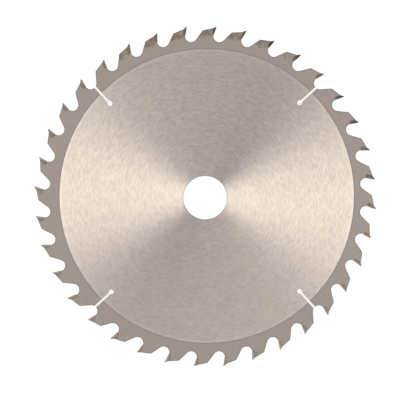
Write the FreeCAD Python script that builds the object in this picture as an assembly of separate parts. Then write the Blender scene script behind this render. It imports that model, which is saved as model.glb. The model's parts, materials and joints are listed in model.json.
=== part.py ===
import FreeCAD, Part
import math
import os

# Circular saw blade for wood: a flat steel plate with a bore, round gullets and
# four expansion slots, and a cemented carbide tip brazed into a seat at the
# front of every tooth. The blade lies flat. Z is the axis of the bore, and the
# origin is the centre of the bore, in the middle of the plate's thickness.
# Seen from +Z the blade cuts clockwise. Lengths are millimetres.

# Blade as a whole
cutting_diameter = 235.0
tooth_count = 36
first_gullet_deg = 5.0

# Steel plate: its thickness is that of the ground land, which is round and a
# little off centre. The ring of teeth round it was blasted clean after brazing,
# so each of its faces lies a little lower.
plate_thickness = 1.8
land_diameter = 201.9
land_height = 0.02
land_off_centre_x = 1.05
land_off_centre_y = 0.68
bore_diameter = 30.0
bore_chamfer = 0.2

# Angles of a tooth: its rake face against the radius, its back and its flank
# against the tangent at the cutting edge
hook_deg = 15.0
back_slope_deg = 16.0
flank_slope_deg = 57.8
back_corner_radius = 0.35

# Gullet: a round pocket whose wall stays a little behind the rake face, with
# its centre a little above the floor of the seat
gullet_radius = 4.05
face_overhang = 0.24
gullet_centre_rise = 0.3

# Expansion slots, each from the bottom of a gullet in to a round end hole
slot_count = 4
first_slot_gullet = 4
slot_width = 1.5
slot_lean_deg = 2.6
slot_hole_diameter = 3.5
slot_hole_radius = 91.7

# Carbide tip: wider than the plate, bevelled to one side and the other in turn,
# and relieved at its top and at its sides, inwards and backwards
kerf = 2.8
tip_length = 6.2
tip_thickness = 1.6
tip_heel_bevel = 0.5
top_clearance_deg = 25.0
top_bevel_deg = 10.0
side_relief_inwards_deg = 1.2
side_relief_backwards_deg = 2.0

# Braze between tip and seat, with a small fillet along both sides of the plate.
# The tip stands out of its seat by the drop from its rear top to the shoulder.
braze_thickness = 0.1
braze_fillet_width = 0.35
braze_fillet_height = 0.2
shoulder_drop = 0.65

# Sizes that follow from the ones above
cutting_radius = cutting_diameter / 2
half_plate = plate_thickness / 2
half_ring = half_plate - land_height
half_kerf = kerf / 2
pitch_deg = 360.0 / tooth_count
hook = math.radians(hook_deg)
top_rise = math.tan(math.radians(hook_deg + top_clearance_deg))
seat_wall_back = tip_thickness + braze_thickness
seat_floor_depth = tip_length + braze_thickness
heel_mitre = math.tan(math.radians(45.0 / 2))
shoulder_depth = tip_thickness * top_rise + shoulder_drop

AXIS = FreeCAD.Vector(0, 0, 1)
CENTRE = FreeCAD.Vector(0, 0, 0)

# A tooth is drawn at twelve o'clock, with its cutting edge on the Y axis.
# Depth runs down the rake face, and back runs from that face into the tooth.
CUTTING_EDGE = FreeCAD.Vector(0, cutting_radius, 0)
DEPTH = FreeCAD.Vector(-math.sin(hook), -math.cos(hook), 0)
BACK = FreeCAD.Vector(-math.cos(hook), math.sin(hook), 0)


def on_tooth(depth, back, z=0.0):
    """Point of the tooth at twelve o'clock, by its depth and back."""
    return CUTTING_EDGE + DEPTH * depth + BACK * back + AXIS * z


def slope(degrees):
    """Direction in the plate's plane, by its angle above the +X axis."""
    angle = math.radians(degrees)
    return FreeCAD.Vector(math.cos(angle), math.sin(angle), 0)


def turned(point, degrees):
    """Point turned anticlockwise about the bore's axis."""
    return FreeCAD.Rotation(AXIS, degrees).multVec(point)


def crossing(start, along, other_start, other_along):
    """Point where two lines in the plate's plane cross."""
    apart = other_start - start
    turn = along.x * other_along.y - along.y * other_along.x
    step = (apart.x * other_along.y - apart.y * other_along.x) / turn
    return start + along * step


def line(start, end):
    return Part.LineSegment(start, end).toShape()


def arc(start, middle, end):
    return Part.Arc(start, middle, end).toShape()


def arc_about(centre, radius, start, end, towards):
    """Arc from start to end that passes the centre on the side given."""
    middle = centre + FreeCAD.Vector(towards).normalize() * radius
    return arc(start, middle, end)


def slab(outline, low_z, high_z):
    """Solid of a closed outline drawn at z = 0, from one height to another."""
    face = Part.Face(outline)
    face.translate(AXIS * low_z)
    return face.extrude(AXIS * (high_z - low_z))


def polygon(corners):
    """Closed outline through the corners."""
    return Part.makePolygon(corners + corners[:1])


def ground(solid, point, outward):
    """Solid with all that lies outside a grinding plane taken off."""
    reach = 4 * (tip_length + kerf)
    wheel = Part.makeBox(reach, reach, reach, FreeCAD.Vector(-reach / 2, -reach / 2, 0))
    wheel.Placement = FreeCAD.Placement(point, FreeCAD.Rotation(AXIS, outward))
    return solid.cut(wheel)


# Gullet in front of the tooth at twelve o'clock
gullet_depth = seat_floor_depth - gullet_centre_rise
gullet_back = face_overhang - gullet_radius
gullet_centre = on_tooth(gullet_depth, gullet_back)
gullet_lead_deg = math.degrees(math.atan2(gullet_centre.x, gullet_centre.y))


def gullet_wall_back(depth):
    """How far behind the rake face the gullet's wall lies at a depth."""
    return gullet_back + math.sqrt(gullet_radius ** 2 - (depth - gullet_depth) ** 2)


# Corner points of the steel of that tooth
flank_along = slope(flank_slope_deg)
flank_into_steel = slope(flank_slope_deg - 90)
flank_foot = turned(gullet_centre, pitch_deg) + flank_into_steel * gullet_radius
shoulder = on_tooth(shoulder_depth, seat_wall_back)
back_along = slope(back_slope_deg)
back_corner = crossing(flank_foot, flank_along, shoulder, back_along)
seat_front = on_tooth(seat_floor_depth, gullet_wall_back(seat_floor_depth))


def heel(offset=0.0):
    """Rear and lower corner of the tip's bevelled heel, offset outwards."""
    inset = tip_heel_bevel - offset * heel_mitre
    rear = on_tooth(tip_length - inset, tip_thickness + offset)
    lower = on_tooth(tip_length + offset, tip_thickness - inset)
    return rear, lower


def tooth_outline():
    """Edges of the steel of one tooth, from its flank to the next gullet."""
    half_turn = math.radians(flank_slope_deg - back_slope_deg) / 2
    trim = back_corner_radius * math.tan(half_turn)
    flank_end = back_corner - flank_along * trim
    back_start = back_corner + back_along * trim
    round_centre = flank_end + flank_into_steel * back_corner_radius
    wall_end, floor_start = heel(braze_thickness)
    next_flank_foot = turned(flank_foot, -pitch_deg)
    return [
        line(flank_foot, flank_end),
        arc_about(round_centre, back_corner_radius, flank_end, back_start,
                  back_corner - round_centre),
        line(back_start, shoulder),
        line(shoulder, wall_end),
        line(wall_end, floor_start),
        line(floor_start, seat_front),
        arc_about(gullet_centre, gullet_radius, seat_front, next_flank_foot,
                  CENTRE - gullet_centre),
    ]


def tip_angle(index):
    """Angle of a tip about the bore, counted from the tip at twelve o'clock."""
    return first_gullet_deg + gullet_lead_deg + index * pitch_deg - 90


def expansion_slot(index):
    """Cutter for one slot and its end hole, which leans about its middle."""
    gullet_angle = first_gullet_deg + index * pitch_deg
    depth = 2 * plate_thickness
    mouth_radius = gullet_centre.Length
    bottom_radius = mouth_radius - gullet_radius
    middle_radius = (slot_hole_radius + bottom_radius) / 2
    inner = slot_hole_radius - middle_radius
    slit = Part.makeBox(mouth_radius - slot_hole_radius, slot_width, depth,
                        FreeCAD.Vector(inner, -slot_width / 2, -depth / 2))
    hole = Part.makeCylinder(slot_hole_diameter / 2, depth,
                             FreeCAD.Vector(inner, 0, -depth / 2), AXIS)
    cutter = slit.fuse(hole)
    cutter.rotate(CENTRE, AXIS, -slot_lean_deg)
    cutter.translate(FreeCAD.Vector(middle_radius, 0, 0))
    cutter.rotate(CENTRE, AXIS, gullet_angle)
    return cutter


def bore_cutter():
    """Bore with a small chamfer at both faces, as one turned shape."""
    radius = bore_diameter / 2
    beyond = half_plate + bore_chamfer
    profile = [
        (0, -beyond),
        (radius + 2 * bore_chamfer, -beyond),
        (radius, -half_plate + bore_chamfer),
        (radius, half_plate - bore_chamfer),
        (radius + 2 * bore_chamfer, beyond),
        (0, beyond),
        (0, -beyond),
    ]
    wire = Part.makePolygon([FreeCAD.Vector(r, 0, z) for r, z in profile])
    return Part.Face(wire).revolve(CENTRE, AXIS, 360)


def land_disc(low_z, high_z):
    """Disc as wide as the ground land, from one height to another."""
    foot = FreeCAD.Vector(land_off_centre_x, land_off_centre_y, low_z)
    return Part.makeCylinder(land_diameter / 2, high_z - low_z, foot)


def saw_plate():
    """Steel plate with its teeth, seats, gullets, ground land, bore and slots."""
    edges = []
    for index in range(tooth_count):
        for edge in tooth_outline():
            edge.rotate(CENTRE, AXIS, tip_angle(index))
            edges.append(edge)
    outline = Part.Wire(Part.sortEdges(edges)[0])
    ring = slab(outline, -half_ring, half_ring)
    land = slab(outline, -half_plate, half_plate).common(land_disc(-half_plate, half_plate))
    cutters = [bore_cutter()]
    for number in range(slot_count):
        gullet = first_slot_gullet + number * tooth_count // slot_count
        cutters.append(expansion_slot(gullet))
    return ring.fuse(land).cut(cutters)


def carbide_tip(side):
    """Tip of the tooth at twelve o'clock, with its high corner at +Z or -Z."""
    rear_top = on_tooth(tip_thickness * top_rise, tip_thickness)
    foot = on_tooth(tip_length, 0)
    profile = polygon([CUTTING_EDGE, rear_top, *heel(), foot])
    tip = slab(profile, -half_kerf, half_kerf)
    high_corner = on_tooth(0, 0, side * half_kerf)
    bevel = AXIS * (side * math.tan(math.radians(top_bevel_deg)))
    tip = ground(tip, high_corner, BACK * top_rise - DEPTH - bevel)
    inwards = DEPTH * math.tan(math.radians(side_relief_inwards_deg))
    backwards = BACK * math.tan(math.radians(side_relief_backwards_deg))
    for face in (1, -1):
        corner = on_tooth(0, 0, face * half_kerf)
        tip = ground(tip, corner, AXIS * face + inwards + backwards)
    return tip


def braze_film():
    """Thin layer between the tip and the wall and floor of its seat."""
    rear, lower = heel()
    wall_end, floor_start = heel(braze_thickness)
    rear_top = crossing(rear, DEPTH, shoulder, back_along)
    foot_front = on_tooth(tip_length, gullet_wall_back(tip_length))
    profile = polygon([
        rear_top, shoulder, wall_end, floor_start,
        seat_front, foot_front, lower, rear,
    ])
    return slab(profile, -half_ring, half_ring)


def braze_fillet(side):
    """Fillet in the corner between the tip and one side of the plate."""
    top = shoulder_depth + braze_fillet_width
    front = gullet_wall_back(seat_floor_depth) + braze_fillet_width
    rear, lower = heel()
    outer_rear, outer_lower = heel(braze_fillet_width)
    outer_top = on_tooth(top, tip_thickness + braze_fillet_width)
    profile = polygon([
        on_tooth(top, tip_thickness), outer_top, outer_rear, outer_lower,
        on_tooth(tip_length + braze_fillet_width, front),
        on_tooth(tip_length, front), lower, rear,
    ])
    base = side * half_ring
    fillet = slab(profile, base, base + side * braze_fillet_height)
    foot = AXIS * base
    rise = AXIS * (side * braze_fillet_width)
    for corner, outward in (
        (outer_top, BACK),
        (outer_rear, (BACK + DEPTH).normalize()),
        (outer_lower, DEPTH),
    ):
        fillet = ground(fillet, corner + foot, outward * braze_fillet_height + rise)
    return fillet


def braze_seam():
    """All the braze of the tooth at twelve o'clock."""
    return braze_film().fuse([braze_fillet(1), braze_fillet(-1)]).removeSplitter()


def at_tooth(shape, index):
    """Copy of a shape of the tooth at twelve o'clock, at another tooth."""
    copy = shape.copy()
    copy.rotate(CENTRE, AXIS, tip_angle(index))
    return copy


def main():
    os.makedirs("parts", exist_ok=True)
    saw_plate().exportStep("parts/saw_plate.step")
    tips = (carbide_tip(-1), carbide_tip(1))
    seam = braze_seam()
    above_ring = [land_disc(half_ring, half_plate), land_disc(-half_plate, -half_ring)]
    seams = []
    for index in range(tooth_count):
        tip = at_tooth(tips[index % 2], index)
        tip.exportStep("parts/carbide_tip_%02d.step" % (index + 1))
        seams += at_tooth(seam, index).cut(above_ring).Solids
    Part.makeCompound(seams).exportStep("parts/braze_seams.step")


main()
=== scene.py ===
import json
import math

import bmesh
import bpy
from bpy.props import FloatProperty, FloatVectorProperty, PointerProperty
from mathutils import Matrix, Vector

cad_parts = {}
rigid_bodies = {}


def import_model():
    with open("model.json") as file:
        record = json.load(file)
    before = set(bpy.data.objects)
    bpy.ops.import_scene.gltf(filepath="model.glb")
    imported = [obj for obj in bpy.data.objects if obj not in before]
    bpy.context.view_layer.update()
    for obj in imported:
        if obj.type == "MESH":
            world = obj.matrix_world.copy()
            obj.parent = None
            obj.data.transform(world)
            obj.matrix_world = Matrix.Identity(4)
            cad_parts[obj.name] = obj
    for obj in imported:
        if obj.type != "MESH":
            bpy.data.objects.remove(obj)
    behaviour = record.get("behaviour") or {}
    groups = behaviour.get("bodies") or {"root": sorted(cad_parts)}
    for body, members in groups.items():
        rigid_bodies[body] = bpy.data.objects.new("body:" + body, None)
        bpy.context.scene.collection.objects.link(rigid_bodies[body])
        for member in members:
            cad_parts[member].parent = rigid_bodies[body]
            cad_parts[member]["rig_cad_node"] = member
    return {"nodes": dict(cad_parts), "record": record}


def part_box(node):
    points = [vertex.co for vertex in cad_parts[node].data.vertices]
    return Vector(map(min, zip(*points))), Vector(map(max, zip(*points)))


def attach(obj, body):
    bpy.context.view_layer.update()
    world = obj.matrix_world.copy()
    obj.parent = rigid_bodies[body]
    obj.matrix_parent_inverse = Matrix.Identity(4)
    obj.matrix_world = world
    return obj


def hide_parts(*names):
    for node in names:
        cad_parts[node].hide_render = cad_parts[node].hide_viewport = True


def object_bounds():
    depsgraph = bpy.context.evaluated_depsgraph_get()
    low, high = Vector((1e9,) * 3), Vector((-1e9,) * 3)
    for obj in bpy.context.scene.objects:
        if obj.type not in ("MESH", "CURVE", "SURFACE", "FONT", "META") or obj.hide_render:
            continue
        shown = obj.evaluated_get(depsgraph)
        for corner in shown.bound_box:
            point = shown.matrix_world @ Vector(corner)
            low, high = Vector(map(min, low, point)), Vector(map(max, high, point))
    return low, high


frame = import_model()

bl_info = {
    "name": "Circular saw blade",
    "version": (1, 0, 0),
    "blender": (4, 5, 0),
    "location": "3D View > Sidebar > Saw blade",
    "description": "Finishes a circular saw blade: ground plate, carbide tips, braze and studio",
    "category": "Object",
}

MM = 0.001
SAME_PLACE = 0.001 * MM  # Corners closer than this are one corner
SAME_PLANE = math.radians(0.2)  # Faces that meet flatter than this are one face
LAND_SLACK = 0.01 * MM  # Half of the land's height over the ring
SHARP_STEEL = math.radians(15)  # Edges of the plate that turn more than this stay sharp
SHARP_BRAZE = math.radians(60)  # The same for the braze, which has set round
CUT_ANGLE = math.radians(60)  # Least angle between a face of the plate and a cut wall
BEAD_SEED = 4  # Start of the random lumps on the braze

CAD_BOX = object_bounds()
TIP_NODES = sorted(name for name in frame["nodes"] if name.startswith("carbide_tip"))
PITCH = math.tau / len(TIP_NODES)
PLATE_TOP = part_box("saw_plate")[1].z
BORE_RADIUS = frame["record"]["mounts"][0]["dims"]["r_mm"] * MM


def linear(code):
    """Linear colour of an sRGB hex code."""
    shares = (int(code[i:i + 2], 16) / 255 for i in (0, 2, 4))
    return [s / 12.92 if s <= 0.04045 else ((s + 0.055) / 1.055) ** 2.4 for s in shares]


def flat(vertex):
    """A vertex's place in the plane of the plate."""
    return Vector((vertex.co.x, vertex.co.y, 0))


def land_circle():
    """Centre and radius of the ground land, which is the plate's highest face."""
    vertices = frame["nodes"]["saw_plate"].data.vertices
    rim = [flat(v) for v in vertices if v.co.z > PLATE_TOP - SAME_PLACE]
    low = Vector((min(p.x for p in rim), min(p.y for p in rim), 0))
    high = Vector((max(p.x for p in rim), max(p.y for p in rim), 0))
    return (low + high) / 2, (high.x - low.x) / 2


LAND_CENTRE, LAND_RADIUS = land_circle()
CUTTING_EDGE = max((flat(v) for v in frame["nodes"][TIP_NODES[0]].data.vertices),
                   key=lambda place: place.length)
TIP_ANGLE = math.atan2(CUTTING_EDGE.y, CUTTING_EDGE.x)


class ToothForm(bpy.types.PropertyGroup):
    """Outline of a tooth, which its stains and heat tint follow."""

    hook: FloatProperty(
        name="Hook", description="Rake face against the radius",
        default=math.radians(15), subtype="ANGLE", unit="ROTATION")
    seat_depth: FloatProperty(
        name="Seat depth", description="From the cutting edge down to the floor of the seat",
        default=6.3 * MM, subtype="DISTANCE", unit="LENGTH")
    gullet_radius: FloatProperty(
        name="Gullet radius", description="Radius of the round pocket in front of a tooth",
        default=4.05 * MM, subtype="DISTANCE", unit="LENGTH")
    gullet_rise: FloatProperty(
        name="Gullet rise", description="Gullet's centre above the floor of the seat",
        default=0.3 * MM, subtype="DISTANCE", unit="LENGTH")
    gullet_behind: FloatProperty(
        name="Gullet behind", description="Gullet's wall behind the rake face",
        default=0.24 * MM, subtype="DISTANCE", unit="LENGTH")
    shoulder_depth: FloatProperty(
        name="Shoulder depth", description="From the cutting edge to the steel behind the tip",
        default=1.99 * MM, subtype="DISTANCE", unit="LENGTH")
    tip_thickness: FloatProperty(
        name="Tip thickness", description="Thickness of a carbide tip, with its braze",
        default=1.7 * MM, subtype="DISTANCE", unit="LENGTH")
    back_slope: FloatProperty(
        name="Back slope", description="Tooth's back against the tangent at the cutting edge",
        default=math.radians(16), subtype="ANGLE", unit="ROTATION")
    flank_slope: FloatProperty(
        name="Flank slope", description="Tooth's flank against the tangent at the cutting edge",
        default=math.radians(57.8), subtype="ANGLE", unit="ROTATION")


class SteelFinish(bpy.types.PropertyGroup):
    """Sizes and colours of the finish on the steel plate."""

    chamfer: FloatProperty(
        name="Edge break", description="Width that deburring takes off the cut edges",
        default=0.1 * MM, subtype="DISTANCE", unit="LENGTH")
    line_width: FloatProperty(
        name="Line width", description="Width of a bundle of grinding lines",
        default=0.8 * MM, subtype="DISTANCE", unit="LENGTH")
    line_length: FloatProperty(
        name="Line length", description="How far round the blade such a bundle runs",
        default=4 * MM, subtype="DISTANCE", unit="LENGTH")
    mottle: FloatProperty(
        name="Mottle", description="Size of the cloudy patches in the steel",
        default=6 * MM, subtype="DISTANCE", unit="LENGTH")
    grit: FloatProperty(
        name="Grit", description="Size of the blasted dimples as drawn",
        default=0.5 * MM, subtype="DISTANCE", unit="LENGTH")
    # Painted highlight: a lighter line drawn just inside the land's rim, where its edge catches
    # the lamps
    rim_highlight_width: FloatProperty(
        name="Rim line", description="Width of the polished line just inside the land's rim",
        default=3.0 * MM, subtype="DISTANCE", unit="LENGTH")
    # Painted shade: a darker ring drawn round the bore's edge
    bore_shade_width: FloatProperty(
        name="Bore ring", description="Width of the worn ring round the bore",
        default=1.5 * MM, subtype="DISTANCE", unit="LENGTH")
    # Painted shade: a darker line drawn just outside the land's rim, on the shaded side of its
    # edge
    rim_shade: FloatProperty(
        name="Groove", description="Width of the dark line round the outside of the land",
        default=1.2 * MM, subtype="DISTANCE", unit="LENGTH")
    # Painted shade: a dark outline drawn along the cut edges
    edge_shade_reach: FloatProperty(
        name="Edge stain", description="Reach of the dark stain along the cut edges",
        default=0.9 * MM, subtype="DISTANCE", unit="LENGTH")
    heat_reach: FloatProperty(
        name="Heat reach", description="Reach of the heat tint behind a brazed tip",
        default=5.5 * MM, subtype="DISTANCE", unit="LENGTH")
    heat_patch: FloatProperty(
        name="Heat patch", description="Size of the patches in which the heat tint comes",
        default=2.2 * MM, subtype="DISTANCE", unit="LENGTH")
    flux_spot: FloatProperty(
        name="Flux spot", description="Reach of the burnt flux beside a seat",
        default=1.2 * MM, subtype="DISTANCE", unit="LENGTH")
    # Teeth in this direction get the straw and brown tint along their backs
    darkened_side: FloatProperty(
        name="Heat side", description="Direction of the teeth that got the most heat",
        default=math.radians(92), subtype="ANGLE", unit="ROTATION")
    ground: FloatVectorProperty(
        name="Ground steel", description="Colour of the ground land",
        default=linear("a9a09f"), subtype="COLOR", min=0, max=1)
    blasted: FloatVectorProperty(
        name="Blasted steel", description="Colour of the blasted ring of teeth",
        default=linear("7c7475"), subtype="COLOR", min=0, max=1)
    cut: FloatVectorProperty(
        name="Cut steel", description="Colour of the laser-cut walls",
        default=linear("7d776f"), subtype="COLOR", min=0, max=1)
    # Colour of the painted shade along the cut edges
    edge_shade: FloatVectorProperty(
        name="Stain", description="Colour of the stain along the cut edges",
        default=linear("55544f"), subtype="COLOR", min=0, max=1)
    heat: FloatVectorProperty(
        name="Brown heat tint", description="Colour of the steel where brazing made it hottest",
        default=linear("5b4f49"), subtype="COLOR", min=0, max=1)
    straw: FloatVectorProperty(
        name="Straw heat tint", description="Colour of the steel where brazing heated it less",
        default=linear("766b61"), subtype="COLOR", min=0, max=1)


class TipFinish(bpy.types.PropertyGroup):
    """Sizes and colours of the carbide tips and of their braze."""

    carbide: FloatVectorProperty(
        name="Carbide", description="Colour of the cemented carbide",
        default=linear("a39a93"), subtype="COLOR", min=0, max=1)
    scorched: FloatVectorProperty(
        name="Scorched carbide", description="Colour of the carbide near the braze",
        default=linear("94867a"), subtype="COLOR", min=0, max=1)
    braze: FloatVectorProperty(
        name="Braze", description="Colour of the tarnished silver braze",
        default=linear("5c5148"), subtype="COLOR", min=0, max=1)
    bare_braze: FloatVectorProperty(
        name="Bare braze", description="Colour of the braze where blasting laid it bare",
        default=linear("b0a48e"), subtype="COLOR", min=0, max=1)
    grain: FloatProperty(
        name="Grain", description="Size of the grinding marks on the carbide as drawn",
        default=0.15 * MM, subtype="DISTANCE", unit="LENGTH")
    braze_patch: FloatProperty(
        name="Braze patch", description="Size of the stains on the braze",
        default=1.2 * MM, subtype="DISTANCE", unit="LENGTH")
    bead_lumps: FloatProperty(
        name="Bead lumps", description="How far the braze bead rises and falls",
        default=0.06 * MM, subtype="DISTANCE", unit="LENGTH")


class StageSettings(bpy.types.PropertyGroup):
    """Floor, lamps and camera."""

    floor_width: FloatProperty(
        name="Floor", description="Width of the floor",
        default=6.0, subtype="DISTANCE", unit="LENGTH")
    floor_colour: FloatVectorProperty(
        name="Floor colour", description="Colour of the paper floor",
        default=linear("f4f4f4"), subtype="COLOR", min=0, max=1)
    lamp_colour: FloatVectorProperty(
        name="Lamp colour", description="Colour of the lamps",
        default=linear("fffbe4"), subtype="COLOR", min=0, max=1)
    hood_radius: FloatProperty(
        name="Hood radius", description="Radius of the dark hood round the camera",
        default=0.27, subtype="DISTANCE", unit="LENGTH")
    hood_lift: FloatProperty(
        name="Hood lift", description="Distance of the hood as a multiple of the camera's",
        default=1.02)
    hood_colour: FloatVectorProperty(
        name="Hood colour", description="Colour of the hood",
        default=linear("050505"), subtype="COLOR", min=0, max=1)
    camera_place: FloatVectorProperty(
        name="Camera", description="Place of the camera",
        default=(0.95 * MM, 81.0 * MM, 1137.5 * MM), subtype="TRANSLATION", unit="LENGTH")
    camera_aim: FloatVectorProperty(
        name="Aim", description="Point of the blade in the middle of the picture",
        default=(-3.53 * MM, -1.56 * MM, 0), subtype="TRANSLATION", unit="LENGTH")
    lens: FloatProperty(
        name="Lens", description="Focal length on a sensor 36 mm wide, in millimetres",
        default=149.54)
    lamp_distance: FloatProperty(
        name="Lamp distance", description="From the blade's axis to each lamp",
        default=1.0, subtype="DISTANCE", unit="LENGTH")
    lamp_height: FloatProperty(
        name="Lamp height", description="Height of the lamps over the floor",
        default=1.0, subtype="DISTANCE", unit="LENGTH")
    lamp_depth: FloatProperty(
        name="Lamp depth", description="Size of a lamp towards and away from the blade",
        default=0.5, subtype="DISTANCE", unit="LENGTH")
    side_lamp_turn: FloatProperty(
        name="Side lamp turn", description="Direction of the right lamp. The left is opposite",
        default=math.radians(-3), subtype="ANGLE", unit="ROTATION")
    side_lamp_width: FloatProperty(
        name="Side lamp width", description="Width of each side lamp",
        default=1.22, subtype="DISTANCE", unit="LENGTH")
    side_lamp_power: FloatProperty(
        name="Side lamp power", description="Power of each side lamp",
        default=19.6, subtype="POWER", unit="POWER")
    weak_lamp_turn: FloatProperty(
        name="Weak lamp turn", description="Direction of the rear lamp. The front is opposite",
        default=math.radians(102), subtype="ANGLE", unit="ROTATION")
    weak_lamp_width: FloatProperty(
        name="Weak lamp width", description="Width of each weak lamp",
        default=1.4, subtype="DISTANCE", unit="LENGTH")
    weak_lamp_power: FloatProperty(
        name="Weak lamp power", description="Power of each weak lamp",
        default=3.9, subtype="POWER", unit="POWER")


SETTINGS = {
    "tooth_form": ToothForm,
    "steel_finish": SteelFinish,
    "tip_finish": TipFinish,
    "stage_settings": StageSettings,
}


# Meshes

def merged_copy(node, name):
    """New piece with the shape of a CAD node, its loose triangles merged into faces."""
    original = frame["nodes"][node]
    bpy.ops.object.select_all(action="DESELECT")
    original.select_set(True)
    bpy.context.view_layer.objects.active = original
    bpy.ops.object.duplicate(linked=False)
    piece = bpy.context.view_layer.objects.active
    piece.name = name
    piece.data.name = name
    del piece["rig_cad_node"]
    bpy.ops.mesh.customdata_custom_splitnormals_clear()
    bpy.ops.object.mode_set(mode="EDIT")
    bpy.ops.mesh.select_all(action="SELECT")
    bpy.ops.mesh.remove_doubles(threshold=SAME_PLACE)
    bpy.ops.mesh.dissolve_limited(angle_limit=SAME_PLANE)
    bpy.ops.object.mode_set(mode="OBJECT")
    piece.data.materials.clear()
    return piece


def is_level(face):
    """True for a face that lies flat."""
    return abs(face.normal.z) > 0.99


def is_upright(face):
    """True for a wall."""
    return abs(face.normal.z) < 0.1


def height(face):
    """How far a face reaches from its lowest to its highest corner."""
    heights = [v.co.z for v in face.verts]
    return max(heights) - min(heights)


def seat(piece, node):
    """Lets a finished piece stand for its CAD node."""
    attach(piece, "root")
    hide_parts(node)


# Materials. A Map Range node takes a value, the range it comes from and the range it goes to.
# A Mix node takes its factor as input 0 and its two colours as inputs 6 and 7.

def new_material(name):
    """New material without nodes, and the tree that they go into."""
    material = bpy.data.materials.new(name)
    material.use_nodes = True
    material.node_tree.nodes.clear()
    return material, material.node_tree


def add(tree, kind, inputs=(), **settings):
    """Adds one node with its settings and links. Inputs go by name or number. They are values,
    sockets, or nodes, of which the first output in use is taken."""
    node = tree.nodes.new("ShaderNode" + kind)
    for name, value in settings.items():
        setattr(node, name, value)
    pairs = inputs.items() if isinstance(inputs, dict) else enumerate(inputs)
    for name, value in pairs:
        if isinstance(value, bpy.types.Node):
            value = next(socket for socket in value.outputs if socket.enabled)
        if isinstance(value, bpy.types.NodeSocket):
            tree.links.new(value, node.inputs[name])
        else:
            node.inputs[name].default_value = value
    return node


def shaded(rgb, factor=1):
    """A colour made darker or lighter, with the fourth value that a colour socket takes."""
    return (*(min(1, c * factor) for c in rgb), 1)


def from_land_centre(tree, place):
    """Distance from the land's axis, and the direction away from it."""
    offset = add(tree, "VectorMath", [place, LAND_CENTRE], operation="SUBTRACT")
    level = add(tree, "VectorMath", [offset, (1, 1, 0)], operation="MULTIPLY")
    reach = add(tree, "VectorMath", [level], operation="LENGTH")
    outward = add(tree, "VectorMath", [level], operation="NORMALIZE")
    return reach, outward


def on_tooth(depth, back):
    """Point of the tooth at twelve o'clock, by its depth and back from the cutting edge."""
    hook = bpy.context.scene.tooth_form.hook
    down = Vector((-math.sin(hook), -math.cos(hook), 0))
    rearward = Vector((-math.cos(hook), math.sin(hook), 0))
    return Vector((0, CUTTING_EDGE.length, 0)) + down * depth + rearward * back


def fold_to_tooth(tree, place):
    """Brings every tooth to twelve o'clock. Gives the place there, and the tooth's number."""
    # A tooth and the gullet in front of it belong together, so the cut lies behind the tooth
    cut = TIP_ANGLE - 0.35 * PITCH
    x, y, _ = add(tree, "SeparateXYZ", [place]).outputs
    angle = add(tree, "Math", [y, x], operation="ARCTAN2")
    from_cut = add(tree, "Math", [angle, cut], operation="SUBTRACT")
    turns = add(tree, "Math", [from_cut, PITCH], operation="DIVIDE")
    tooth = add(tree, "Math", [turns], operation="FLOOR")
    back = add(tree, "Math", [tooth, -PITCH, math.pi / 2 - TIP_ANGLE], operation="MULTIPLY_ADD")
    point = add(tree, "VectorRotate", {"Vector": place, "Angle": back}, rotation_type="Z_AXIS")
    level = add(tree, "VectorMath", [point, (1, 1, 0)], operation="MULTIPLY")
    return level, tooth


def from_line(tree, point, start, end):
    """Distance of a point from the straight line between two places."""
    along = end - start
    step = add(tree, "VectorMath", [point, start], operation="SUBTRACT")
    dot = add(tree, "VectorMath", [step, along / along.length_squared], operation="DOT_PRODUCT")
    kept = add(tree, "Clamp", [dot])
    foot = add(tree, "VectorMath", {0: along, "Scale": kept}, operation="SCALE")
    return add(tree, "VectorMath", [step, foot], operation="DISTANCE")


def from_circle(tree, point, centre, radius):
    """Distance of a point outside a circle."""
    apart = add(tree, "VectorMath", [point, centre], operation="DISTANCE")
    return add(tree, "Math", [apart, radius], operation="SUBTRACT")


def tooth_points():
    """Corners of the tooth at twelve o'clock, and the centres of the gullets on both sides."""
    form = bpy.context.scene.tooth_form
    gullet = on_tooth(form.seat_depth - form.gullet_rise, form.gullet_behind - form.gullet_radius)
    next_gullet = Matrix.Rotation(PITCH, 3, "Z") @ gullet
    flank = Vector((math.cos(form.flank_slope), math.sin(form.flank_slope), 0))
    inward = Vector((math.sin(form.flank_slope), -math.cos(form.flank_slope), 0))
    back = Vector((math.cos(form.back_slope), math.sin(form.back_slope), 0))
    flank_foot = next_gullet + inward * form.gullet_radius
    shoulder = on_tooth(form.shoulder_depth, form.tip_thickness)
    apart = shoulder - flank_foot
    step = (apart.x * back.y - apart.y * back.x) / (flank.x * back.y - flank.y * back.x)
    return {
        "gullet": gullet,
        "next_gullet": next_gullet,
        "seat": on_tooth(form.seat_depth, form.tip_thickness),
        "shoulder": shoulder,
        "back_corner": flank_foot + flank * step,
        "flank_foot": flank_foot,
    }


def edge_distance(tree, point):
    """Distance from the cut outline of the tooth: its two gullets, its flank and its back."""
    radius = bpy.context.scene.tooth_form.gullet_radius
    corners = tooth_points()
    nearest = from_circle(tree, point, corners["gullet"], radius)
    for other in (
        from_circle(tree, point, corners["next_gullet"], radius),
        from_line(tree, point, corners["flank_foot"], corners["back_corner"]),
        from_line(tree, point, corners["back_corner"], corners["shoulder"]),
    ):
        nearest = add(tree, "Math", [nearest, other], operation="MINIMUM")
    return nearest


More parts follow.
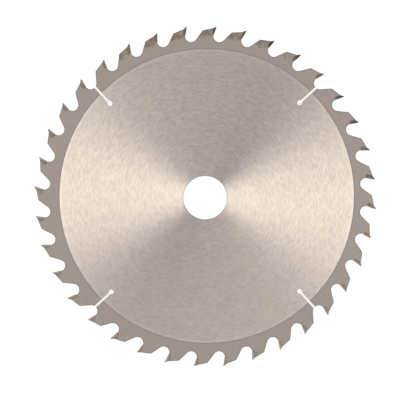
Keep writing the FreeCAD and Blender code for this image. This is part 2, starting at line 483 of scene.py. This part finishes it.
def heat_tint(tree, base, place, point, tooth):
    """Lays marks over a colour: straw and brown heat tint behind each brazed tip, the same colours
    over the backs of the teeth on one side of the blade, and burnt flux beside a few of the seats."""
    sizes = bpy.context.scene.steel_finish
    corners = tooth_points()
    middle = (corners["shoulder"] + corners["seat"]) / 2

    # Behind each tip, on one tooth more than on the next
    least, most = 0.2, 0.8
    away = from_line(tree, point, corners["shoulder"], middle)
    near = add(tree, "MapRange", [away, 0, sizes.heat_reach, 1, 0])
    own = add(tree, "TexWhiteNoise", {"W": tooth}, noise_dimensions="1D")
    own = add(tree, "Math", [own, most - least, least], operation="MULTIPLY_ADD")
    own = add(tree, "Math", [near, own], operation="MULTIPLY")

    # Along the backs on one side of the blade, which is found by its cosine, and less beside the
    # tip
    far_off, fullest, most_there, beside_tip = 0.6, 0.97, 0.95, 0.55
    darkened_way = Vector((math.cos(sizes.darkened_side), math.sin(sizes.darkened_side), 0))
    side = add(tree, "VectorMath", [place, darkened_way / CUTTING_EDGE.length], operation="DOT_PRODUCT")
    side = add(tree, "MapRange", [side, far_off, fullest, 0, most_there],
               interpolation_type="SMOOTHSTEP")
    below = from_line(tree, point, corners["back_corner"], corners["shoulder"])
    wide = add(tree, "MapRange", [below, 0.5 * sizes.heat_reach, 1.5 * sizes.heat_reach, side, 0],
               interpolation_type="SMOOTHSTEP")
    apart = add(tree, "MapRange", [away, 0, sizes.heat_reach, beside_tip, 1])
    wide = add(tree, "Math", [wide, apart], operation="MULTIPLY")
    strength = add(tree, "Math", [own, wide], operation="MAXIMUM")

    # Both come in patches: straw where they are weaker, and brown where they are stronger
    patches = add(tree, "TexNoise", {
        "Vector": place, "Scale": 1 / sizes.heat_patch, "Detail": 2.0, "Roughness": 0.6})
    patches = add(tree, "Math", [patches, 0.9, 0.05], operation="MULTIPLY_ADD")
    level = add(tree, "Math", [strength, 0.6, patches], operation="MULTIPLY_ADD")
    straw_from, brown_from, full, hides = 0.6, 0.65, 1.05, 0.8
    marks = add(tree, "MapRange", [level, straw_from, full, 0, hides],
                interpolation_type="SMOOTHSTEP")
    browned = add(tree, "MapRange", [level, brown_from, full, 0, 1],
                  interpolation_type="SMOOTHSTEP")
    tint = add(tree, "Mix", {0: browned, 6: shaded(sizes.straw), 7: shaded(sizes.heat)},
               data_type="RGBA")
    base = add(tree, "Mix", {0: marks, 6: base, 7: tint}, data_type="RGBA")

    # Burnt flux beside the lower half of the seat, on one tooth in four
    clean_teeth, darkest, burnt_shade = 0.75, 0.75, 0.5
    other = add(tree, "Math", [tooth, 0.5], operation="ADD")
    burnt = add(tree, "TexWhiteNoise", {"W": other}, noise_dimensions="1D")
    burnt = add(tree, "MapRange", [burnt, clean_teeth, 1, 0, darkest])
    beside = from_line(tree, point, middle, corners["seat"])
    ragged = add(tree, "Math", [patches, -2 * sizes.flux_spot, beside], operation="MULTIPLY_ADD")
    spot = add(tree, "MapRange", [ragged, -0.6 * sizes.flux_spot, 0, burnt, 0],
               interpolation_type="SMOOTHSTEP")
    return add(tree, "Mix", {0: spot, 6: base, 7: shaded(sizes.heat, burnt_shade)},
               data_type="RGBA")


def ground_steel():
    """Hardened tool steel, ground flat by a wheel that leaves fine arcs round the axis. They give
    two bright fans under the side lamps, broken by lines and by faint clouds in the steel. An
    arc is about 0.05 mm wide, which can't show, so the lines drawn here are bundles of arcs, as
    coarse as the picture needs."""
    sizes = bpy.context.scene.steel_finish
    material, tree = new_material("ground_hardened_tool_steel")
    place = add(tree, "TexCoord").outputs["Object"]
    reach, outward = from_land_centre(tree, place)

    # Lines that run round the land: the noise changes faster with the radius than round it
    x, y, _ = add(tree, "SeparateXYZ", [place]).outputs
    track = add(tree, "Math", [reach, sizes.line_length / sizes.line_width], operation="MULTIPLY")
    lines_place = add(tree, "CombineXYZ", [x, y, track])
    lines = add(tree, "TexNoise", {
        "Vector": lines_place, "Scale": 1 / sizes.line_length, "Detail": 3.0, "Roughness": 0.6})
    streaks = add(tree, "MapRange", [lines, 0.2, 0.8, 0, 1], interpolation_type="SMOOTHSTEP")
    clouds = add(tree, "TexNoise", {
        "Vector": place, "Scale": 1 / sizes.mottle, "Detail": 4.0, "Roughness": 0.6})
    clouded = add(tree, "MapRange", [clouds, 0.35, 0.75, 0, 0.2], interpolation_type="SMOOTHSTEP")

    # A painted highlight just inside the rim, where the land's edge catches the lamps, and painted
    # shade in a darker ring round the bore
    to_rim = add(tree, "Math", [LAND_RADIUS, reach], operation="SUBTRACT")
    rim = add(tree, "MapRange", [to_rim, 0, sizes.rim_highlight_width, 0.2, 0],
              interpolation_type="SMOOTHSTEP")
    # Painted shade, darker towards the bore's edge
    from_axis = add(tree, "VectorMath", [place], operation="LENGTH")
    bore = add(tree, "MapRange", [
        from_axis, BORE_RADIUS, BORE_RADIUS + sizes.bore_shade_width, 0.5, 0],
        interpolation_type="SMOOTHSTEP")

    dark_line, light_line, cloudy, rim_highlight, bore_shaded = 0.84, 1.12, 0.8, 1.4, 0.8
    base = add(tree, "Mix", {
        0: streaks, 6: shaded(sizes.ground, dark_line), 7: shaded(sizes.ground, light_line)},
        data_type="RGBA")
    for factor, rgb in (
        (clouded, shaded(sizes.ground, cloudy)),
        (rim, shaded(sizes.ground, rim_highlight)),
        (bore, shaded(sizes.ground, bore_shaded)),
    ):
        base = add(tree, "Mix", {0: factor, 6: base, 7: rgb}, data_type="RGBA")

    # Farther out the arcs of one turn of the wheel cross more, so they run less strictly one way
    strict, loose = 0.86, 0.70
    drawn = add(tree, "MapRange", [reach, 0, LAND_RADIUS, strict, loose])
    smooth, rough = 0.34, 0.50
    dull = add(tree, "Math", [lines, rough - smooth, smooth], operation="MULTIPLY_ADD")
    bump = add(tree, "Bump", {"Strength": 0.12, "Distance": 0.02 * MM, "Height": lines})
    shader = add(tree, "BsdfPrincipled", {
        "Base Color": base, "Metallic": 1.0, "Roughness": dull,
        "Anisotropic": drawn, "Tangent": outward, "Normal": bump,
    })
    add(tree, "OutputMaterial", [shader])
    return material


def blasted_steel():
    """The same steel, blasted with fine grit after brazing. The tiny dimples scatter the light
    evenly, so it is matt and a shade darker, with painted shade along the cut edges and just
    outside the land's rim, and tinted straw to brown where a tip was brazed. Grit of 0.1 mm leaves
    dimples that are too fine to show, so they are drawn 0.5 mm wide."""
    sizes = bpy.context.scene.steel_finish
    material, tree = new_material("blasted_hardened_tool_steel")
    place = add(tree, "TexCoord").outputs["Object"]
    reach, _ = from_land_centre(tree, place)
    point, tooth = fold_to_tooth(tree, place)
    grain = add(tree, "TexNoise", {
        "Vector": place, "Scale": 1 / sizes.grit, "Detail": 3.0, "Roughness": 0.7})
    speckled = add(tree, "MapRange", [grain, 0.25, 0.75, 0, 1], interpolation_type="SMOOTHSTEP")
    clouds = add(tree, "TexNoise", {
        "Vector": place, "Scale": 1 / sizes.mottle, "Detail": 3.0, "Roughness": 0.6})
    clouded = add(tree, "Math", [clouds, 0.3], operation="MULTIPLY")
    edge = edge_distance(tree, point)
    # Painted shade along the cut edges
    edge_shaded = add(tree, "MapRange", [edge, 0, sizes.edge_shade_reach, 0.8, 0],
                  interpolation_type="SMOOTHSTEP")
    # Painted shade: a darker line just outside the land's rim
    rim_shade = add(tree, "MapRange", [reach, LAND_RADIUS, LAND_RADIUS + sizes.rim_shade, 0.8, 0],
                 interpolation_type="SMOOTHSTEP")

    dark_speck, light_speck, cloudy, rim_shaded = 0.8, 1.15, 0.8, 0.7
    base = add(tree, "Mix", {
        0: speckled, 6: shaded(sizes.blasted, dark_speck), 7: shaded(sizes.blasted, light_speck)},
        data_type="RGBA")
    base = add(tree, "Mix", {0: clouded, 6: base, 7: shaded(sizes.blasted, cloudy)},
               data_type="RGBA")
    base = heat_tint(tree, base, place, point, tooth)
    for factor, rgb in (
        (edge_shaded, shaded(sizes.edge_shade)),
        (rim_shade, shaded(sizes.blasted, rim_shaded)),
    ):
        base = add(tree, "Mix", {0: factor, 6: base, 7: rgb}, data_type="RGBA")

    smooth, rough = 0.5, 0.65
    dull = add(tree, "Math", [grain, rough - smooth, smooth], operation="MULTIPLY_ADD")
    bump = add(tree, "Bump", {"Strength": 0.3, "Distance": 0.03 * MM, "Height": grain})
    shader = add(tree, "BsdfPrincipled", {
        "Base Color": base, "Metallic": 1.0, "Roughness": dull, "Normal": bump,
    })
    add(tree, "OutputMaterial", [shader])
    return material


def cut_steel():
    """The same steel where a laser cut the gullets, slots and bore, deburred. The beam leaves
    fine upright ridges and a thin grey scale, so the walls are darker and dull. The ridges are
    about 0.1 mm apart, which can't show, so they are drawn 0.25 mm apart."""
    sizes = bpy.context.scene.steel_finish
    material, tree = new_material("laser_cut_tool_steel")
    place = add(tree, "TexCoord").outputs["Object"]
    upright = add(tree, "VectorMath", [place, (1, 1, 0.1)], operation="MULTIPLY")
    ridges = add(tree, "TexNoise", {
        "Vector": upright, "Scale": 2 / sizes.grit, "Detail": 2.0, "Roughness": 0.5})
    ridged = add(tree, "MapRange", [ridges, 0.3, 0.7, 0, 1], interpolation_type="SMOOTHSTEP")
    base = add(tree, "Mix", {0: ridged, 6: shaded(sizes.cut, 0.7), 7: shaded(sizes.cut)},
               data_type="RGBA")
    smooth, rough = 0.4, 0.6
    dull = add(tree, "Math", [ridges, rough - smooth, smooth], operation="MULTIPLY_ADD")
    bump = add(tree, "Bump", {"Strength": 0.3, "Distance": 0.02 * MM, "Height": ridges})
    shader = add(tree, "BsdfPrincipled", {
        "Base Color": base, "Metallic": 1.0, "Roughness": dull, "Normal": bump,
    })
    add(tree, "OutputMaterial", [shader])
    return material


def cemented_carbide():
    """Tungsten carbide grains sintered with cobalt, ground with a diamond wheel. The ground faces
    are smooth enough to mirror a dark camera as near black, and brown from the heel up where the
    heat of brazing scorched them, on one tip more than on the next. The wheel's marks are about
    0.03 mm wide, which can't show, so they are drawn 0.15 mm wide."""
    sizes = bpy.context.scene.tip_finish
    form = bpy.context.scene.tooth_form
    material, tree = new_material("diamond_ground_cemented_carbide")
    place = add(tree, "TexCoord").outputs["Object"]
    point, tooth = fold_to_tooth(tree, place)
    edge, heel = on_tooth(0, 0), on_tooth(form.seat_depth, 0)
    step = add(tree, "VectorMath", [point, edge], operation="SUBTRACT")
    down = (heel - edge) / (heel - edge).length_squared
    depth = add(tree, "VectorMath", [step, down], operation="DOT_PRODUCT")

    # Depth, as a share of the tip, at which a tip is scorched through, and how far it fades up
    differs, fade = 0.7, 0.6
    ragged = add(tree, "TexNoise", {
        "Vector": place, "Scale": 1 / form.tip_thickness, "Detail": 2.0, "Roughness": 0.6})
    own = add(tree, "TexWhiteNoise", {"W": tooth}, noise_dimensions="1D")
    start = add(tree, "Math", [own, differs, ragged], operation="MULTIPLY_ADD")
    burnt = add(tree, "Math", [depth, start], operation="SUBTRACT")
    scorched = add(tree, "MapRange", [burnt, -fade, 0, 0, 1], interpolation_type="SMOOTHSTEP")

    grain = add(tree, "TexNoise", {
        "Vector": place, "Scale": 1 / sizes.grain, "Detail": 2.0, "Roughness": 0.6})
    base = add(tree, "Mix", {0: grain, 6: shaded(sizes.carbide, 0.8), 7: shaded(sizes.carbide)},
               data_type="RGBA")
    base = add(tree, "Mix", {0: scorched, 6: base, 7: shaded(sizes.scorched)}, data_type="RGBA")
    smooth, rough, rougher_where_scorched = 0.14, 0.24, 0.08
    dull = add(tree, "Math", [grain, rough - smooth, smooth], operation="MULTIPLY_ADD")
    dull = add(tree, "Math", [scorched, rougher_where_scorched, dull], operation="MULTIPLY_ADD")
    bump = add(tree, "Bump", {"Strength": 0.1, "Distance": 0.01 * MM, "Height": grain})
    shader = add(tree, "BsdfPrincipled", {
        "Base Color": base, "Metallic": 1.0, "Roughness": dull, "Normal": bump,
    })
    add(tree, "OutputMaterial", [shader])
    return material


def silver_braze():
    """Silver brazing alloy, melted into the joint and blasted with the steel. It is a dull
    yellow-brown metal, dark where flux and heat have stained it, with a few bare spots."""
    sizes = bpy.context.scene.tip_finish
    material, tree = new_material("blasted_silver_braze")
    place = add(tree, "TexCoord").outputs["Object"]
    stains = add(tree, "TexNoise", {
        "Vector": place, "Scale": 1 / sizes.braze_patch, "Detail": 3.0, "Roughness": 0.6})
    clean = add(tree, "MapRange", [stains, 0.35, 0.65, 0, 1], interpolation_type="SMOOTHSTEP")
    bare = add(tree, "MapRange", [stains, 0.62, 0.7, 0, 1], interpolation_type="SMOOTHSTEP")
    base = add(tree, "Mix", {0: clean, 6: shaded(sizes.braze, 0.4), 7: shaded(sizes.braze)},
               data_type="RGBA")
    base = add(tree, "Mix", {0: bare, 6: base, 7: shaded(sizes.bare_braze)}, data_type="RGBA")
    smooth, rough = 0.4, 0.65
    dull = add(tree, "Math", [stains, rough - smooth, smooth], operation="MULTIPLY_ADD")
    bump = add(tree, "Bump", {"Strength": 0.3, "Distance": 0.03 * MM, "Height": stains})
    shader = add(tree, "BsdfPrincipled", {
        "Base Color": base, "Metallic": 1.0, "Roughness": dull, "Normal": bump,
    })
    add(tree, "OutputMaterial", [shader])
    return material


# Pieces

def pick(piece, kind, wanted):
    """Selects in edit mode the faces or edges of a piece for which wanted is true."""
    mesh = bmesh.from_edit_mesh(piece.data)
    for element in getattr(mesh, kind):
        element.select_set(False)
    for element in getattr(mesh, kind):
        if wanted(element):
            element.select_set(True)
    mesh.select_flush_mode()
    bmesh.update_edit_mesh(piece.data)


def is_cut_edge(edge):
    """True where a face of the plate meets a cut wall. The land's low step isn't one."""
    if len(edge.link_faces) != 2 or edge.calc_face_angle() < CUT_ANGLE:
        return False
    level = [face for face in edge.link_faces if is_level(face)]
    walls = [face for face in edge.link_faces if is_upright(face)]
    return len(level) == 1 and len(walls) == 1 and height(walls[0]) > PLATE_TOP


class SAWBLADE_OT_plate(bpy.types.Operator):
    """Breaks the plate's cut edges and gives each of its faces its own steel"""

    bl_idname = "sawblade.plate"
    bl_label = "Steel plate"

    def execute(self, context):
        plate = merged_copy("saw_plate", "plate")
        bpy.ops.object.mode_set(mode="EDIT")
        bpy.ops.mesh.select_mode(type="EDGE")
        pick(plate, "edges", is_cut_edge)
        bpy.ops.mesh.bevel(offset=context.scene.steel_finish.chamfer, segments=1,
                           affect="EDGES", clamp_overlap=False)
        for material in (cut_steel(), ground_steel(), blasted_steel()):
            plate.data.materials.append(material)
        bpy.ops.mesh.select_mode(type="FACE")
        for index, wanted in ((1, self.is_land), (2, self.is_ring)):
            pick(plate, "faces", wanted)
            plate.active_material_index = index
            bpy.ops.object.material_slot_assign()
        bpy.ops.object.mode_set(mode="OBJECT")
        bpy.ops.object.shade_smooth_by_angle(angle=SHARP_STEEL)
        seat(plate, "saw_plate")
        return {"FINISHED"}

    @staticmethod
    def is_land(face):
        """True for the two ground faces."""
        return is_level(face) and abs(face.calc_center_median().z) > PLATE_TOP - LAND_SLACK

    @staticmethod
    def is_ring(face):
        """True for the faces of the blasted ring of teeth, which lie a little lower."""
        return is_level(face) and not SAWBLADE_OT_plate.is_land(face)


class SAWBLADE_OT_tips(bpy.types.Operator):
    """Gives the carbide tips their finish"""

    bl_idname = "sawblade.tips"
    bl_label = "Carbide tips"

    def execute(self, context):
        carbide = cemented_carbide()
        for name in TIP_NODES:
            slots = frame["nodes"][name].data.materials
            slots.clear()
            slots.append(carbide)
        return {"FINISHED"}


class SAWBLADE_OT_braze(bpy.types.Operator):
    """Rounds the braze beads and makes them uneven, as they set by themselves"""

    bl_idname = "sawblade.braze"
    bl_label = "Braze"

    def execute(self, context):
        sizes = context.scene.tip_finish
        braze = merged_copy("braze_seams", "braze")
        bpy.ops.object.mode_set(mode="EDIT")
        bpy.ops.mesh.select_mode(type="EDGE")
        pick(braze, "edges", lambda edge: self.on_bead(edge.verts))
        bpy.ops.mesh.subdivide(number_cuts=3)
        bpy.ops.mesh.select_mode(type="VERT")
        pick(braze, "verts", lambda vertex: self.on_bead([vertex]))
        bpy.ops.transform.vertex_random(offset=sizes.bead_lumps, seed=BEAD_SEED)
        bpy.ops.mesh.select_all(action="SELECT")
        bpy.ops.mesh.normals_make_consistent(inside=False)
        bpy.ops.object.mode_set(mode="OBJECT")
        bpy.ops.object.shade_smooth_by_angle(angle=SHARP_BRAZE)
        braze.data.materials.append(silver_braze())
        seat(braze, "braze_seams")
        return {"FINISHED"}

    @staticmethod
    def on_bead(vertices):
        """True for places out of the joint, on the beads beside the plate."""
        return all(abs(v.co.z) > PLATE_TOP for v in vertices)


class SAWBLADE_OT_stage(bpy.types.Operator):
    """Builds the floor, the lamps and the camera"""

    bl_idname = "sawblade.stage"
    bl_label = "Stage"

    def execute(self, context):
        settings = context.scene.stage_settings
        self.floor(settings)
        self.world(context)
        for name, turn in (("right_lamp", 0), ("left_lamp", math.pi)):
            self.lamp(settings, name, settings.side_lamp_turn + turn,
                      settings.side_lamp_width, settings.side_lamp_power)
        for name, turn in (("rear_lamp", 0), ("front_lamp", math.pi)):
            self.lamp(settings, name, settings.weak_lamp_turn + turn,
                      settings.weak_lamp_width, settings.weak_lamp_power)
        self.camera(context, settings)
        self.hood(settings)
        context.scene.view_settings.view_transform = "Standard"
        return {"FINISHED"}

    def floor(self, settings):
        """Paper floor. It looks white from anywhere and keeps a faint shadow."""
        bpy.ops.mesh.primitive_plane_add(size=settings.floor_width,
                                         location=(0, 0, CAD_BOX[0].z))
        floor = bpy.context.view_layer.objects.active
        floor.name = "floor"
        material, tree = new_material("white_paper")
        paper = add(tree, "BsdfDiffuse", [shaded(settings.floor_colour)])
        glow = add(tree, "Emission", [(1, 1, 1, 1), 1.0])
        whiteness = 0.85
        share = add(tree, "Math", [seen_directly(tree), whiteness], operation="MULTIPLY")
        add(tree, "OutputMaterial", [add(tree, "MixShader", [share, paper, glow])])
        floor.data.materials.append(material)

    def world(self, context):
        """White surroundings where they are seen, and a softer light on the object."""
        world = bpy.data.worlds.new("studio")
        context.scene.world = world
        world.use_nodes = True
        tree = world.node_tree
        tree.nodes.clear()
        lighting, white = 0.6, 1
        strength = add(tree, "MapRange", [seen_directly(tree), 0, 1, lighting, white])
        add(tree, "OutputWorld", [add(tree, "Background", [(1, 1, 1, 1), strength])])

    def lamp(self, settings, name, turn, width, power):
        """Wide soft lamp that faces the blade. The two strong ones at the sides give the bright
        fans on the ground land, and the two weak ones lift the dark parts between the fans."""
        turned = Matrix.Rotation(turn, 3, "Z")
        place = turned @ Vector((settings.lamp_distance, 0, settings.lamp_height))
        across = turned @ Vector((0, 1, 0))
        behind = place.normalized()
        facing = Matrix((across.cross(behind), across, behind)).transposed()
        bpy.ops.object.light_add(type="AREA", location=place, rotation=facing.to_euler())
        lamp = bpy.context.view_layer.objects.active
        lamp.name = name
        lamp.data.shape = "RECTANGLE"
        lamp.data.size = settings.lamp_depth
        lamp.data.size_y = width
        lamp.data.energy = power
        lamp.data.color = settings.lamp_colour

    def camera(self, context, settings):
        """Camera at the place from which the photograph was taken."""
        place = Vector(settings.camera_place)
        behind = (place - Vector(settings.camera_aim)).normalized()
        right = Vector((0, 1, 0)).cross(behind).normalized()
        turn = Matrix((right, behind.cross(right), behind)).transposed()
        bpy.ops.object.camera_add(location=place, rotation=turn.to_euler())
        camera = bpy.context.view_layer.objects.active
        camera.data.sensor_width = 36
        camera.data.lens = settings.lens
        context.scene.camera = camera

    def hood(self, settings):
        """Dark camera hood. It shows only in shiny faces that send the view back to the camera."""
        place = Vector(settings.camera_place) * settings.hood_lift
        bpy.ops.mesh.primitive_circle_add(vertices=48, radius=settings.hood_radius,
                                          fill_type="NGON", location=place)
        hood = bpy.context.view_layer.objects.active
        hood.name = "camera_hood"
        hood.visible_camera = False
        hood.visible_diffuse = False
        hood.visible_shadow = False
        material, tree = new_material("black_cloth")
        place = add(tree, "TexCoord").outputs["Object"]
        away = add(tree, "VectorMath", [place], operation="LENGTH")
        radius = settings.hood_radius
        faded = add(tree, "MapRange", [away, 0.6 * radius, radius, 0, 1],
                    interpolation_type="SMOOTHSTEP")
        cloth = add(tree, "BsdfDiffuse", [shaded(settings.hood_colour)])
        clear = add(tree, "BsdfTransparent")
        add(tree, "OutputMaterial", [add(tree, "MixShader", [faded, cloth, clear])])
        hood.data.materials.append(material)


def seen_directly(tree):
    """1 for rays from the camera, off a shiny face or through an opening, and 0 for light."""
    path = add(tree, "LightPath").outputs
    seen = add(tree, "Math", [path["Is Camera Ray"], path["Is Glossy Ray"]], operation="MAXIMUM")
    return add(tree, "Math", [seen, path["Is Transmission Ray"]], operation="MAXIMUM")


STEPS = (SAWBLADE_OT_plate, SAWBLADE_OT_tips, SAWBLADE_OT_braze, SAWBLADE_OT_stage)


class SAWBLADE_PT_panel(bpy.types.Panel):
    """Buttons for the steps, in order"""

    bl_label = "Saw blade"
    bl_idname = "SAWBLADE_PT_panel"
    bl_space_type = "VIEW_3D"
    bl_region_type = "UI"
    bl_category = "Saw blade"

    def draw(self, context):
        for step in STEPS:
            self.layout.operator(step.bl_idname)
        for name, group in SETTINGS.items():
            box = self.layout.box()
            for prop in group.__annotations__:
                box.prop(getattr(context.scene, name), prop)


def register():
    """Adds the settings, the steps and the panel to Blender."""
    for name, group in SETTINGS.items():
        bpy.utils.register_class(group)
        setattr(bpy.types.Scene, name, PointerProperty(type=group))
    for step in (*STEPS, SAWBLADE_PT_panel):
        bpy.utils.register_class(step)


def unregister():
    """Takes them out again."""
    for step in reversed((*STEPS, SAWBLADE_PT_panel)):
        bpy.utils.unregister_class(step)
    for name, group in SETTINGS.items():
        delattr(bpy.types.Scene, name)
        bpy.utils.unregister_class(group)


def main():
    """Builds everything in order."""
    register()
    bpy.ops.sawblade.plate()
    bpy.ops.sawblade.tips()
    bpy.ops.sawblade.braze()
    bpy.ops.sawblade.stage()


if __name__ == "__main__":
    main()
